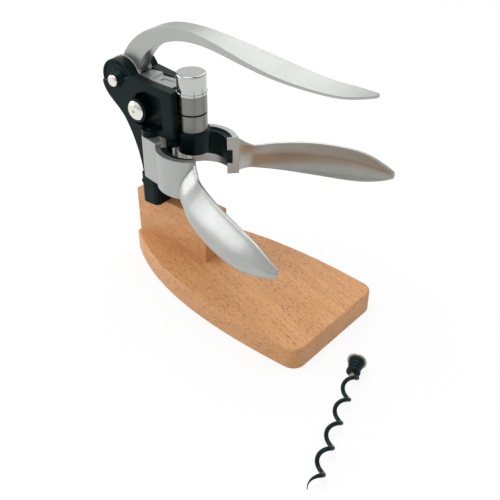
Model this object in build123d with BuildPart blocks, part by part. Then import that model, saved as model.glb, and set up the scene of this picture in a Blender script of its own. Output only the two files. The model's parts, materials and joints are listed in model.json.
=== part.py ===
from build123d import *
import os
from math import acos, cos, degrees, pi, radians, sin, tan

# Lever corkscrew on its beech stand, with one loose worm beside it.
# X runs forward to the lever's tip, Y to the left, Z up. The origin is on the
# floor, under the barrel's axis. The right half of the tool is modelled and
# mirrored. All lengths are in millimetres, all angles in degrees.

os.makedirs("parts", exist_ok=True)

# Clearances
run_fit = 0.08  # radial play of turning pins
face_gap = 0.3  # play between faces that pass each other
rest_gap = 0.4  # play above and below a jaw's knuckle

# Beech stand
stand_turn = -4.5  # the tool sits a little askew on its stand
base_thick = 16.0
base_back = -51.0
base_front = 127.0
base_back_half = 14.4
base_front_half = 43.5
base_bow_rear = (-8.0, 42.0)  # the two handles of the bowed side curve
base_bow_front = (50.0, 50.0)
base_corner = 9.0
base_back_corner = 2.0
base_ease = 1.4
block_front = 18.5
block_half = 11.2
block_top = 52.0
block_ease = 0.8
screw_shank = 2.0  # radius
screw_head = 4.0  # radius
screw_length = 38.0
screw_rear = -38.0
screw_front = 4.0
dowel_radius = 4.0
dowel_sunk = 14.0
dowel_proud = 12.0
dowel_x = -29.0
dowel_ease = 1.0

# Barrel line
barrel_radius = 10.0
sleeve_radius = 9.8
collar_radius = 11.4
collar_bottom = 98.0
collar_top = 113.0
sleeve_top = 125.0
bumper_thick = 1.0
bumper_radius = 9.2
ring_height = 12.4
cap_height = 14.0
cap_lip = 0.4
cap_lip_height = 1.5
cap_round = 1.2
cap_crown = 4.0  # solid metal at the top of the cap
tail_front = -28.0  # carriage: front of the tail behind the barrel
tail_step = 4.0
tail_lean = 3.0
arm_drop = 8.0
brace_drop = 14.0
plate_rise = 2.4  # plate on top of the carriage, above its ring
oval_length = 11.0
oval_width = 5.0
oval_depth = 0.6
barrel_bore = 6.8
worm_bore = 5.6
bush_bore = 4.9
bush_lug = 1.4
sleeve_bore = 7.2
sleeve_hole = 1.1
sleeve_hole_way = (-0.45, -0.9, 0)
collar_bore = 8.8
bush_bottom = 104.0

# Lever pivot, guide stud, gear and rack
pivot_x = -54.0
pivot_z = 139.0
lever_swing = 150.0
module = 1.2
gear_teeth = 20
pressure = 20.0
backlash = 0.25
gear_width = 7.6
gear_web = 10.0  # radius of the plain part of the gear
slot_radius = 13.4  # fork slot of the lever, which the rack reaches into
stud_x = -36.5
stud_z = 121.6
stud_tip = 1.7
stud_shank = 2.6
stud_head = 5.5
stud_dome = 2.4
stud_dimple = 0.9
stud_dimple_depth = 1.5
stud_rim = 0.5
stud_crown = 0.7  # how far the dome stands above its chord
stud_bite = 0.5  # how far the tips stop short of the groove's floor line
groove_play = 0.15
groove_wall = 1.0  # wall between the groove and the back of the tail
groove_foot = 2.5
gear_spare = 12.0  # toothed arc past each end of the swing

# Frame halves
gap_half = 7.0  # half the space between the two cheeks
cheek_out = 15.0
web_out = 9.4
eye_radius = 13.5
eye_out = 13.6
boss_root = 6.8
boss_tip = 4.4
boss_out = 17.8
ring_groove = 0.8  # width and depth of the rings moulded round the eye and the stud
eye_ring = 11.0
pin_radius = 3.0
pin_head = 3.5
pin_dome = 1.6
pin_round = 1.4
stud_boss = 8.6
stud_boss_out = 16.4
stud_ring = 6.6
cheek_round = 1.5
pocket_round = 3.5
flange = 5.0  # width of the flange round the pocket
rail_land = 2.4
pocket_waist = (-43.5, 118.5)
pocket_shoulder = (-36.0, 134.0)
spine_low = -36.5
spine_mid = (-35.4, 72.0)
spine_knee = (-44.6, 105.6)
spine_neck = (-51.4, 116.2)
spine_heel = (-64.8, 129.2)
spine_angle = 192.0  # where the spine leaves the eye
top_angle = 22.0  # where the top edge leaves the eye
top_crest = (-28.0, 142.0)
rail_front = -4.4
rail_back = -11.6
rail_top = 140.6
rail_round = 2.4
foot_front = -21.0
foot_out = 18.0
foot_round = 4.0
foot_bolt_x = -32.6
foot_bolt_z = 69.0
foot_bolt_shank = 1.5
foot_bolt_head = 2.4
foot_bolt_depth = 2.0
lug_out = 20.4
lug_thick = 4.4
post_front = -32.9

# Jaws and grips
hinge_x = -26.5
hinge_y = 14.5
hinge_pin = 2.4
hinge_sunk = 12.0
jaw_open = 12.0  # each jaw stands open by this angle
knuckle = 6.0
jaw_bottom = 75.0
jaw_top = 103.0
knuckle_top = 106.2
jaw_outer = 24.5
jaw_inner = 20.7
jaw_front_angle = 32.0
jaw_rear_angle = 138.0
plate_angle = 122.0  # where the knuckle's plate runs into the shell
plate_lap = 8.0
plate_sunk = 0.3
liner_inner = 16.2
liner_bottom = 79.0
liner_top = 101.6
liner_front_angle = 33.0
liner_rear_angle = 130.0
end_front_angle = 22.0  # block that closes the front end of a jaw
end_rear_angle = 36.0
end_inner = 17.0
end_outer = 25.2
tab_bottom = 84.0  # tongue of the liner, let into that block
tab_top = 93.0
tab_front_angle = 27.0
grip_edge = 2.2  # thickness along the rim of a grip

# Lever arm
lever_half = 6.1
lever_rear_angle = 92.0
lever_front_angle = 29.0
hub_radius = 13.9
washer_radius = 14.2
washer_thick = 0.6
lever_tip = 134.0
lever_tip_z = 172.3
lever_heel = (-40.0, 169.4)  # points on the upper side of the arch
lever_shoulder = (-20.0, 179.3)
lever_crest = (0.0, 182.0)
lever_fall = (40.0, 176.9)
lever_dip = (98.0, 168.9)
arch_front = (8.0, 174.8)  # points on the under side of the arch
arch_middle = (-20.0, 168.2)
arch_rear = (-34.5, 157.5)
lever_edge = 1.9  # thickness along the broad part
lever_mid_edge = 4.2
lever_reach = 60.0  # more than half the width of the arm
lever_flank = -8.0  # where the arm starts to broaden
flank_points = ((30.0, 8.7), (68.0, 11.6), (100.0, 9.9))  # forward, half width
tip_half = 4.6
tip_root = 127.0
tip_lean = 40.0
tip_round = 6.7

# Loose worm
worm_head_x = 152.5
worm_head_y = -28.5
worm_heading = -73.6
worm_disc = 6.3
worm_disc_thick = 1.4
disc_ease = 0.3
plug_wide = 5.3
plug_narrow = 3.7
plug_ribs = 3
plug_rib_step = 2.6
plug_groove = 0.7
plug_rib_width = 1.7
collar_ring = 4.5
collar_ring_height = 2.2
shank_radius = 1.6
shank_length = 2.6
wire_radius = 1.2
hook_radius = 1.45  # knob at the wire's start, beside the shank
helix_radius = 3.1
helix_pitch = 19.1
helix_turns = 4.42
tip_turns = 0.42
tip_radius = 0.18

# Values that follow from those above
pitch_radius = module * gear_teeth / 2
rack_pitch = pi * module
stroke = pitch_radius * radians(lever_swing)
rack_line = pivot_x + pitch_radius
addendum = module
dedendum = 1.25 * module
ring_bottom = sleeve_top + bumper_thick + face_gap
ring_top = ring_bottom + ring_height
carriage_half = gap_half - face_gap
plate_front = -(barrel_radius + cap_lip + rest_gap)
rack_half = gear_width / 2 - rest_gap
groove_half = stud_tip + groove_play
wall_rear = stud_x - groove_half - groove_wall
tail_bottom = stud_z - stroke - groove_half - groove_foot
stud_reach = rack_half + stud_bite
hub_bore = pin_radius + run_fit
jaw_floor = jaw_bottom - rest_gap
jaw_ceiling = knuckle_top + rest_gap
rail_bottom = liner_top + 2 * rest_gap

stand_plane = Plane.XY.rotated((0, 0, stand_turn))


def eye_point(angle, radius=eye_radius):
    """A point at an angle round the lever's pivot, in the side view."""
    return (pivot_x + radius * cos(radians(angle)), pivot_z + radius * sin(radians(angle)))


def side_plane(out):
    """The side view plane at a distance to the right of the middle."""
    return Plane.XZ.offset(out)


# Stand: base board with bowed sides
with BuildPart() as stand_base:
    with BuildSketch(stand_plane):
        with BuildLine():
            bow = Bezier(
                (base_back, base_back_half),
                base_bow_rear,
                base_bow_front,
                (base_front, base_front_half),
            )
            mirror(bow, about=Plane.XZ)
            Line((base_front, base_front_half), (base_front, -base_front_half))
            Line((base_back, base_back_half), (base_back, -base_back_half))
        make_face()
    extrude(amount=base_thick)
    fillet(stand_base.edges().filter_by(Axis.Z).sort_by(Axis.X)[-2:], base_corner)
    fillet(stand_base.edges().filter_by(Axis.Z).sort_by(Axis.X)[:2], base_back_corner)
    top_rim = stand_base.faces().sort_by(Axis.Z)[-1].edges()
    fillet(top_rim, base_ease)
    with BuildSketch(stand_plane):
        with Locations((screw_rear, 0), (screw_front, 0)):
            Circle(screw_shank)
    extrude(amount=base_thick, mode=Mode.SUBTRACT)
    with BuildSketch(stand_plane):
        with Locations((screw_rear, 0), (screw_front, 0)):
            Circle(screw_head)
    extrude(amount=screw_head - screw_shank, taper=45, mode=Mode.SUBTRACT)
stand_base.part.label = "stand_base"
export_step(stand_base.part, "parts/stand_base.step")

# Stand: upright block with its dowel hole and two screw holes
with BuildPart() as stand_block:
    with BuildSketch(stand_plane.offset(base_thick)):
        with Locations(((base_back + block_front) / 2, 0)):
            Rectangle(block_front - base_back, 2 * block_half)
    extrude(amount=block_top - base_thick)
    block_rim = stand_block.faces().sort_by(Axis.Z)[-1].edges()
    fillet(block_rim, block_ease)
    with BuildSketch(stand_plane.offset(base_thick)):
        with Locations((screw_rear, 0), (screw_front, 0)):
            Circle(screw_shank)
    extrude(amount=screw_length - base_thick, mode=Mode.SUBTRACT)
    with BuildSketch(Plane.XY.offset(block_top)):
        with Locations((dowel_x, 0)):
            Circle(dowel_radius)
    extrude(amount=-dowel_sunk, mode=Mode.SUBTRACT)
stand_block.part.label = "stand_block"
export_step(stand_block.part, "parts/stand_block.step")

# Stand: two countersunk screws from below
for name, place in (("stand_screw_rear", screw_rear), ("stand_screw_front", screw_front)):
    with BuildPart() as stand_screw:
        with BuildSketch(stand_plane):
            with Locations((place, 0)):
                Circle(screw_head)
        extrude(amount=screw_head - screw_shank, taper=45)
        with BuildSketch(stand_plane):
            with Locations((place, 0)):
                Circle(screw_shank)
        extrude(amount=screw_length)
    stand_screw.part.label = name
    export_step(stand_screw.part, f"parts/{name}.step")

# Stand: dowel that locates the tool's foot
with BuildPart() as stand_dowel:
    with BuildSketch(Plane.XY.offset(block_top - dowel_sunk)):
        with Locations((dowel_x, 0)):
            Circle(dowel_radius)
    extrude(amount=dowel_sunk + dowel_proud)
    chamfer(stand_dowel.faces().sort_by(Axis.Z)[-1].edges(), dowel_ease)
stand_dowel.part.label = "stand_dowel"
export_step(stand_dowel.part, "parts/stand_dowel.step")

# Frame: right half, one moulding of cheek, eye, rail, half collar, spine and foot
with BuildPart() as right_frame:
    # Side outline from the eye down the spine to the foot, and back up the rail
    with BuildSketch(side_plane(gap_half)):
        with BuildLine():
            spine = Spline(
                eye_point(spine_angle),
                spine_heel,
                spine_neck,
                spine_knee,
                spine_mid,
                (spine_low, block_top),
            )
            Polyline(
                spine @ 1,
                (foot_front, block_top),
                (foot_front, jaw_floor),
                (post_front, jaw_floor),
                (post_front, jaw_ceiling),
                (rail_front, jaw_ceiling),
                (rail_front, rail_top),
                top_crest,
                eye_point(top_angle),
                (pivot_x, pivot_z),
                spine @ 0,
            )
        make_face()
    extrude(amount=cheek_out - gap_half)
    fillet(right_frame.edges().filter_by(Axis.Y).group_by(Axis.X)[-1], rail_round)
    outer_rim = right_frame.faces().sort_by(Axis.Y)[0].edges()
    fillet([edge for edge in outer_rim if edge.center().Z > jaw_ceiling + lug_thick], cheek_round)
    # Pocket in the cheek, inside a flange of even width
    with BuildSketch(side_plane(web_out)):
        with BuildLine():
            Polyline(
                (rail_back - rail_land, rail_top - flange),
                (rail_back - rail_land, jaw_ceiling + lug_thick),
                (spine_knee[0] + flange, jaw_ceiling + lug_thick),
                pocket_waist,
                pocket_shoulder,
                (top_crest[0], top_crest[1] - flange),
                close=True,
            )
        pocket = make_face()
        fillet(pocket.vertices(), pocket_round)
    extrude(amount=cheek_out - web_out, mode=Mode.SUBTRACT)
    # Boss of the guide stud
    with BuildSketch(side_plane(gap_half)):
        with Locations((stud_x, stud_z)):
            Circle(stud_boss)
    extrude(amount=stud_boss_out - gap_half)
    # Eye with its raised cone
    with BuildSketch(side_plane(gap_half)):
        with Locations((pivot_x, pivot_z)):
            Circle(eye_radius)
    extrude(amount=eye_out - gap_half)
    with BuildSketch(side_plane(eye_out)):
        with Locations((pivot_x, pivot_z)):
            Circle(boss_root)
    with BuildSketch(side_plane(boss_out)):
        with Locations((pivot_x, pivot_z)):
            Circle(boss_tip)
    loft()
    # Rings moulded into the eye and the boss of the stud
    with BuildSketch(side_plane(eye_out)):
        with Locations((pivot_x, pivot_z)):
            Circle(eye_ring + ring_groove)
            Circle(eye_ring, mode=Mode.SUBTRACT)
    extrude(amount=-ring_groove, mode=Mode.SUBTRACT)
    with BuildSketch(side_plane(stud_boss_out)):
        with Locations((stud_x, stud_z)):
            Circle(stud_ring + ring_groove)
            Circle(stud_ring, mode=Mode.SUBTRACT)
    extrude(amount=-ring_groove, mode=Mode.SUBTRACT)
    # Lug over the knuckle, and the foot
    with BuildSketch(Plane.XY.offset(jaw_ceiling)):
        with Locations((hinge_x, -hinge_y)):
            Circle(lug_out - hinge_y)
        with Locations((hinge_x, -(gap_half + hinge_y) / 2)):
            Rectangle(2 * (lug_out - hinge_y), hinge_y - gap_half)
    extrude(amount=lug_thick)
    with BuildSketch(Plane.XY.offset(block_top)):
        with Locations(((spine_low + foot_front) / 2, -foot_out / 2)):
            foot = Rectangle(foot_front - spine_low, foot_out)
        fillet(foot.vertices().group_by(Axis.Y)[0], foot_round)
    extrude(amount=jaw_floor - block_top)
    # Rail run down beside the half collar, and ending above the liners
    with BuildSketch(Plane.XY.offset(rail_bottom)):
        with Locations(((rail_back + rail_front) / 2, -(gap_half + cheek_out) / 2)):
            rail = Rectangle(rail_front - rail_back, cheek_out - gap_half)
        fillet(rail.vertices().group_by(Axis.Y)[0], rail_round)
    extrude(amount=jaw_ceiling - rail_bottom)
    with BuildSketch(Plane.XY.offset(collar_bottom)):
        Circle(collar_radius)
        with Locations((rail_back / 2 + rail_front / 2, 0)):
            Rectangle(rail_front - rail_back, 2 * gap_half)
        Circle(collar_bore, mode=Mode.SUBTRACT)
        with Locations((0, collar_radius)):
            Rectangle(4 * collar_radius, 2 * collar_radius, mode=Mode.SUBTRACT)
    extrude(amount=collar_top - collar_bottom)
    # Clear way for the collar's bore and, above it, for the barrel
    with BuildSketch(Plane.XY.offset(collar_bottom)):
        Circle(collar_bore)
    extrude(amount=collar_top - collar_bottom, mode=Mode.SUBTRACT)
    with BuildSketch(Plane.XY.offset(collar_top)):
        Circle(barrel_radius + cap_lip + face_gap)
    extrude(amount=top_crest[1] - collar_top, mode=Mode.SUBTRACT)
    # Holes for the pivot pin, the guide stud, the hinge pin, the dowel and the foot bolt
    with BuildSketch(Plane.XZ):
        with Locations((pivot_x, pivot_z)):
            Circle(pin_radius)
        with Locations((stud_x, stud_z)):
            Circle(stud_shank)
        with Locations((foot_bolt_x, foot_bolt_z)):
            Circle(foot_bolt_shank)
    extrude(amount=boss_out, mode=Mode.SUBTRACT)
    with BuildSketch(side_plane(foot_out)):
        with Locations((foot_bolt_x, foot_bolt_z)):
            Circle(foot_bolt_head)
    extrude(amount=-foot_bolt_depth, mode=Mode.SUBTRACT)
    with BuildSketch(Plane.XY.offset(jaw_floor - hinge_sunk)):
        with Locations((hinge_x, -hinge_y)):
            Circle(hinge_pin)
    extrude(amount=jaw_ceiling + lug_thick - jaw_floor + hinge_sunk, mode=Mode.SUBTRACT)
    with BuildSketch(Plane.XY.offset(block_top)):
        with Locations((dowel_x, 0)):
            Circle(dowel_radius + run_fit)
    extrude(amount=dowel_proud + face_gap, mode=Mode.SUBTRACT)
right_frame.part.label = "right_frame"
export_step(right_frame.part, "parts/right_frame.step")

# Frame: left half, the mirror image
with BuildPart() as left_frame:
    mirror(right_frame.part, about=Plane.XZ)
left_frame.part.label = "left_frame"
export_step(left_frame.part, "parts/left_frame.step")

# Frame: bolt across the foot
with BuildPart() as foot_bolt:
    with BuildSketch(Plane.XZ.offset(-foot_out)):
        with Locations((foot_bolt_x, foot_bolt_z)):
            Circle(foot_bolt_shank)
    extrude(amount=2 * foot_out)
    with BuildSketch(side_plane(foot_out), side_plane(foot_bolt_depth - foot_out)):
        with Locations((foot_bolt_x, foot_bolt_z)):
            Circle(foot_bolt_head)
    extrude(amount=-foot_bolt_depth)
foot_bolt.part.label = "foot_bolt"
export_step(foot_bolt.part, "parts/foot_bolt.step")

# Frame: pivot pin of the lever, with a domed end on each side
with BuildPart() as lever_pin:
    with BuildSketch(side_plane(-boss_out)):
        with Locations((pivot_x, pivot_z)):
            Circle(pin_radius)
    extrude(amount=2 * boss_out)
    for side in (1, -1):
        with BuildSketch(side_plane(side * boss_out)):
            with Locations((pivot_x, pivot_z)):
                Circle(pin_head)
        extrude(amount=side * pin_dome)
    pin_ends = lever_pin.edges().group_by(Axis.Y)
    fillet(pin_ends[0] + pin_ends[-1], pin_round)
lever_pin.part.label = "lever_pin"
export_step(lever_pin.part, "parts/lever_pin.step")

# Frame: guide studs, whose tips run in the grooves of the carriage
with BuildPart() as left_guide_stud:
    with BuildSketch(Plane.XY.offset(stud_z)):
        with BuildLine():
            Polyline(
                (stud_x + stud_dimple, stud_boss_out + stud_dome),
                (stud_x + stud_dimple, stud_boss_out + stud_dome - stud_dimple_depth),
                (stud_x, stud_boss_out + stud_dome - stud_dimple_depth),
                (stud_x, stud_reach),
                (stud_x + stud_tip, stud_reach),
                (stud_x + stud_tip, gap_half),
                (stud_x + stud_shank, gap_half),
                (stud_x + stud_shank, stud_boss_out),
                (stud_x + stud_head, stud_boss_out),
                (stud_x + stud_head, stud_boss_out + stud_rim),
            )
            SagittaArc(
                (stud_x + stud_head, stud_boss_out + stud_rim),
                (stud_x + stud_dimple, stud_boss_out + stud_dome),
                -stud_crown,
            )
        make_face()
    revolve(axis=Axis((stud_x, 0, stud_z), (0, 1, 0)))
left_guide_stud.part.label = "left_guide_stud"
export_step(left_guide_stud.part, "parts/left_guide_stud.step")

with BuildPart() as right_guide_stud:
    mirror(left_guide_stud.part, about=Plane.XZ)
right_guide_stud.part.label = "right_guide_stud"
export_step(right_guide_stud.part, "parts/right_guide_stud.step")

# Frame: hinge pins of the two jaws
for name, side in (("left_hinge_pin", 1), ("right_hinge_pin", -1)):
    with BuildPart() as hinge:
        with BuildSketch(Plane.XY.offset(jaw_floor - hinge_sunk)):
            with Locations((hinge_x, side * hinge_y)):
                Circle(hinge_pin)
        extrude(amount=jaw_ceiling + lug_thick - jaw_floor + hinge_sunk)
    hinge.part.label = name
    export_step(hinge.part, f"parts/{name}.step")

# Frame: satin sleeve over the collar, with its small sight hole
with BuildPart() as nut_sleeve:
    with BuildSketch(Plane.XY.offset(collar_top)):
        Circle(sleeve_radius)
        Circle(sleeve_bore, mode=Mode.SUBTRACT)
    extrude(amount=sleeve_top - collar_top)
    with BuildSketch(Plane((0, 0, (collar_top + sleeve_top) / 2), z_dir=sleeve_hole_way)):
        Circle(sleeve_hole)
    extrude(amount=barrel_radius, mode=Mode.SUBTRACT)
nut_sleeve.part.label = "nut_sleeve"
export_step(nut_sleeve.part, "parts/nut_sleeve.step")

# Frame: guide bush inside the sleeve, with two lugs that turn the worm
with BuildPart() as guide_bush:
    with BuildSketch(Plane.XY.offset(bush_bottom)):
        Circle(collar_bore)
    extrude(amount=collar_top - bush_bottom)
    with BuildSketch(Plane.XY.offset(collar_top)):
        Circle(sleeve_bore)
    extrude(amount=sleeve_top - collar_top)
    with BuildSketch(Plane.XY.offset(bush_bottom)):
        Circle(bush_bore)
        with Locations((bush_bore, 0), (-bush_bore, 0)):
            Rectangle(2 * bush_lug, 2 * bush_lug, mode=Mode.SUBTRACT)
    extrude(amount=sleeve_top - bush_bottom, mode=Mode.SUBTRACT)
guide_bush.part.label = "guide_bush"
export_step(guide_bush.part, "parts/guide_bush.step")

# Frame: rubber bumper between the sleeve and the barrel
with BuildPart() as bumper_ring:
    with BuildSketch(Plane.XY.offset(sleeve_top)):
        Circle(bumper_radius)
        Circle(bush_bore, mode=Mode.SUBTRACT)
    extrude(amount=bumper_thick)
bumper_ring.part.label = "bumper_ring"
export_step(bumper_ring.part, "parts/bumper_ring.step")

# Carriage: ring of the barrel, arm, and tail with rack and guide grooves
rack_top = pivot_z + rack_pitch
rack_count = int((stroke + 2 * rack_pitch) / rack_pitch) + 1
tooth_half = rack_pitch / 4 - backlash / 2
tooth_tip = tooth_half - addendum * tan(radians(pressure))
tooth_root = tooth_half + dedendum * tan(radians(pressure))
with BuildPart() as carriage:
    with BuildSketch(Plane.XY.offset(ring_bottom)):
        Circle(barrel_radius)
        with Locations((tail_front / 2, 0)):
            Rectangle(-tail_front, 2 * carriage_half)
    extrude(amount=ring_height)
    with BuildSketch(side_plane(carriage_half)):
        with BuildLine():
            Polyline(
                (tail_front, ring_bottom - arm_drop),
                (tail_front, ring_top),
                (tail_front - tail_lean, rack_top),
                (wall_rear, rack_top),
                (wall_rear, tail_bottom),
                (tail_front - tail_step, tail_bottom),
                (tail_front - tail_step, ring_bottom - brace_drop),
                close=True,
            )
        make_face()
    extrude(amount=-2 * carriage_half)
    # Plate on top, with a shallow oval in it
    plate_rear = tail_front - tail_lean
    with BuildSketch(Plane.XY.offset(ring_top)):
        with Locations(((plate_rear + plate_front) / 2, 0)):
            Rectangle(plate_front - plate_rear, 2 * carriage_half)
    extrude(amount=plate_rise)
    with BuildSketch(Plane.XY.offset(ring_top + plate_rise)):
        with Locations(((plate_rear + plate_front) / 2, 0)):
            SlotOverall(oval_length, oval_width)
    extrude(amount=-oval_depth, mode=Mode.SUBTRACT)
    # Rib behind the tail, with the teeth of the rack
    with BuildSketch(side_plane(rack_half)):
        with Locations((wall_rear, (rack_top + tail_bottom) / 2)):
            rib_depth = wall_rear - rack_line - dedendum
            Rectangle(rib_depth, rack_top - tail_bottom, align=(Align.MAX, Align.CENTER))
    extrude(amount=-2 * rack_half)
    with BuildSketch(side_plane(rack_half)):
        for k in range(rack_count):
            tooth_z = pivot_z + rack_pitch / 2 - k * rack_pitch
            with BuildLine():
                Polyline(
                    (rack_line + dedendum, tooth_z + tooth_root),
                    (rack_line - addendum, tooth_z + tooth_tip),
                    (rack_line - addendum, tooth_z - tooth_tip),
                    (rack_line + dedendum, tooth_z - tooth_root),
                    close=True,
                )
            make_face()
    extrude(amount=-2 * rack_half)
    # Guide grooves in both flanks
    with BuildSketch(side_plane(carriage_half), side_plane(face_gap - stud_reach)):
        with Locations((stud_x, stud_z - stroke / 2)):
            SlotCenterToCenter(stroke, 2 * groove_half, rotation=90)
    extrude(amount=-(carriage_half - stud_reach + face_gap), mode=Mode.SUBTRACT)
    with BuildSketch(Plane.XY.offset(ring_bottom)):
        Circle(barrel_bore)
    extrude(amount=ring_height, mode=Mode.SUBTRACT)
carriage.part.label = "carriage"
export_step(carriage.part, "parts/carriage.step")

# Carriage: socket that takes the head of a worm
with BuildPart() as worm_socket:
    with BuildSketch(Plane.XY.offset(ring_bottom)):
        Circle(barrel_bore)
        Circle(worm_bore, mode=Mode.SUBTRACT)
    extrude(amount=ring_height / 2)
worm_socket.part.label = "worm_socket"
export_step(worm_socket.part, "parts/worm_socket.step")

# Carriage: chrome cap, with a spigot down into the ring
with BuildPart() as barrel_cap:
    with BuildSketch(Plane.XY.offset(ring_top)):
        Circle(barrel_radius)
    extrude(amount=cap_height)
    fillet(barrel_cap.faces().sort_by(Axis.Z)[-1].edges(), cap_round)
    with BuildSketch(Plane.XY.offset(ring_top)):
        Circle(barrel_radius + cap_lip)
    extrude(amount=cap_lip_height)
    with BuildSketch(Plane.XY.offset(ring_top)):
        Circle(barrel_bore)
    extrude(amount=-ring_height / 2)
    with BuildSketch(Plane.XY.offset(ring_top - ring_height / 2)):
        Circle(worm_bore)
    extrude(amount=ring_height / 2 + cap_height - cap_crown, mode=Mode.SUBTRACT)
barrel_cap.part.label = "barrel_cap"
export_step(barrel_cap.part, "parts/barrel_cap.step")

# Lever: arm with its arch, forked hub and broad grip
with BuildPart() as lever:
    with BuildSketch(side_plane(lever_reach)):
        with BuildLine():
            over = Spline(
                eye_point(lever_rear_angle, hub_radius),
                lever_heel,
                lever_shoulder,
                lever_crest,
                lever_fall,
                lever_dip,
                (lever_tip, lever_tip_z),
            )
            Line(over @ 1, (lever_tip, lever_tip_z - lever_edge))
            under = Spline(
                (lever_tip, lever_tip_z - lever_edge),
                (lever_dip[0], lever_dip[1] - lever_edge),
                (lever_fall[0], lever_fall[1] - lever_mid_edge),
                arch_front,
                arch_middle,
                arch_rear,
                eye_point(lever_front_angle, hub_radius),
            )
            Polyline(under @ 1, (pivot_x, pivot_z), over @ 0)
        make_face()
        with Locations((pivot_x, pivot_z)):
            Circle(hub_radius)
    extrude(amount=-2 * lever_reach)
    with BuildSketch(Plane.XY):
        with BuildLine():
            flank = Spline(
                (lever_flank, lever_half),
                *flank_points,
                (tip_root, tip_half),
                tangents=[(1, 0), (cos(radians(tip_lean)), -sin(radians(tip_lean)))],
            )
            Polyline(flank @ 0, (pivot_x - 2 * hub_radius, lever_half), (pivot_x - 2 * hub_radius, 0))
            RadiusArc(flank @ 1, (lever_tip, 0), tip_round)
            mirror(about=Plane.XZ)
        make_face()
    extrude(amount=lever_crest[1] + lever_reach, mode=Mode.INTERSECT)
    # Fork slot for the gear, and the pivot hole
    with BuildSketch(side_plane(gear_width / 2)):
        with Locations((pivot_x, pivot_z)):
            Circle(slot_radius)
    extrude(amount=-gear_width, mode=Mode.SUBTRACT)
    with BuildSketch(side_plane(gear_width / 2)):
        with Locations((pivot_x, pivot_z)):
            Circle(hub_radius + face_gap)
            Circle(slot_radius - face_gap, mode=Mode.SUBTRACT)
        with BuildLine():
            Polyline(
                (pivot_x, pivot_z),
                eye_point(lever_front_angle, 2 * hub_radius),
                eye_point((lever_front_angle + lever_rear_angle) / 2, 2 * hub_radius),
                eye_point(lever_rear_angle, 2 * hub_radius),
                close=True,
            )
        make_face(mode=Mode.SUBTRACT)
    extrude(amount=-gear_width, mode=Mode.SUBTRACT)
    with BuildSketch(side_plane(lever_half)):
        with Locations((pivot_x, pivot_z)):
            Circle(hub_bore)
    extrude(amount=-2 * lever_half, mode=Mode.SUBTRACT)
lever.part.label = "lever"
export_step(lever.part, "parts/lever.step")

# Lever: toothed sector in the fork, involute flanks on a plain disc
base_radius = pitch_radius * cos(radians(pressure))
tip_circle = pitch_radius + addendum
root_circle = pitch_radius - dedendum
tooth_step = 2 * pi / gear_teeth
tooth_count = int((radians(lever_swing) + 2 * radians(gear_spare)) / tooth_step) + 1
flank_steps = 4


def involute(radius):
    """Roll angle of the flank at a radius."""
    if radius <= base_radius:
        return 0.0
    lean = acos(base_radius / radius)
    return tan(lean) - lean


def flank_angle(radius):
    """Half the angle of a tooth at a radius."""
    at_pitch = pi / (2 * gear_teeth) - backlash / (2 * pitch_radius)
    return at_pitch + involute(pitch_radius) - involute(radius)


flank_radii = [root_circle]
for step in range(flank_steps + 1):
    flank_radii.append(base_radius + (tip_circle - base_radius) * step / flank_steps)
sector_points = []
for k in range(tooth_count):
    middle = -tooth_step * k
    for radius in flank_radii:
        sector_points.append(eye_point(degrees(middle + flank_angle(radius)), radius))
    for radius in reversed(flank_radii):
        sector_points.append(eye_point(degrees(middle - flank_angle(radius)), radius))
with BuildPart() as drive_gear:
    with BuildSketch(side_plane(gear_width / 2)):
        with Locations((pivot_x, pivot_z)):
            Circle(gear_web)
        with BuildLine():
            Polyline(*sector_points, (pivot_x, pivot_z), close=True)
        make_face()
        with Locations((pivot_x, pivot_z)):
            Circle(hub_bore, mode=Mode.SUBTRACT)
    extrude(amount=-gear_width)
drive_gear.part.label = "drive_gear"
export_step(drive_gear.part, "parts/drive_gear.step")

# Lever: bright washers between the hub and the eyes
for name, side in (("left_washer", 1), ("right_washer", -1)):
    with BuildPart() as washer:
        with BuildSketch(side_plane(-side * lever_half)):
            with Locations((pivot_x, pivot_z)):
                Circle(washer_radius)
                Circle(hub_bore, mode=Mode.SUBTRACT)
        extrude(amount=-side * washer_thick)
    washer.part.label = name
    export_step(washer.part, f"parts/{name}.step")

# Jaws: the left one is modelled standing open, its plan drawn from its hinge
jaw_plane = Plane(
    origin=(hinge_x, hinge_y, 0),
    x_dir=(cos(radians(jaw_open)), sin(radians(jaw_open)), 0),
    z_dir=(0, 0, 1),
)
neck_centre = (-hinge_x, -hinge_y)


def neck_point(angle, radius):
    """A point round the bottle neck, in the jaw's own plan."""
    return (
        neck_centre[0] + radius * cos(radians(angle)),
        neck_centre[1] + radius * sin(radians(angle)),
    )


def neck_sector(front_angle, rear_angle, inner, outer):
    """The outline of a ring sector round the bottle neck."""
    rim = CenterArc(neck_centre, outer, front_angle, rear_angle - front_angle)
    bore = CenterArc(neck_centre, inner, front_angle, rear_angle - front_angle)
    Line(rim @ 0, bore @ 0)
    Line(rim @ 1, bore @ 1)


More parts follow.
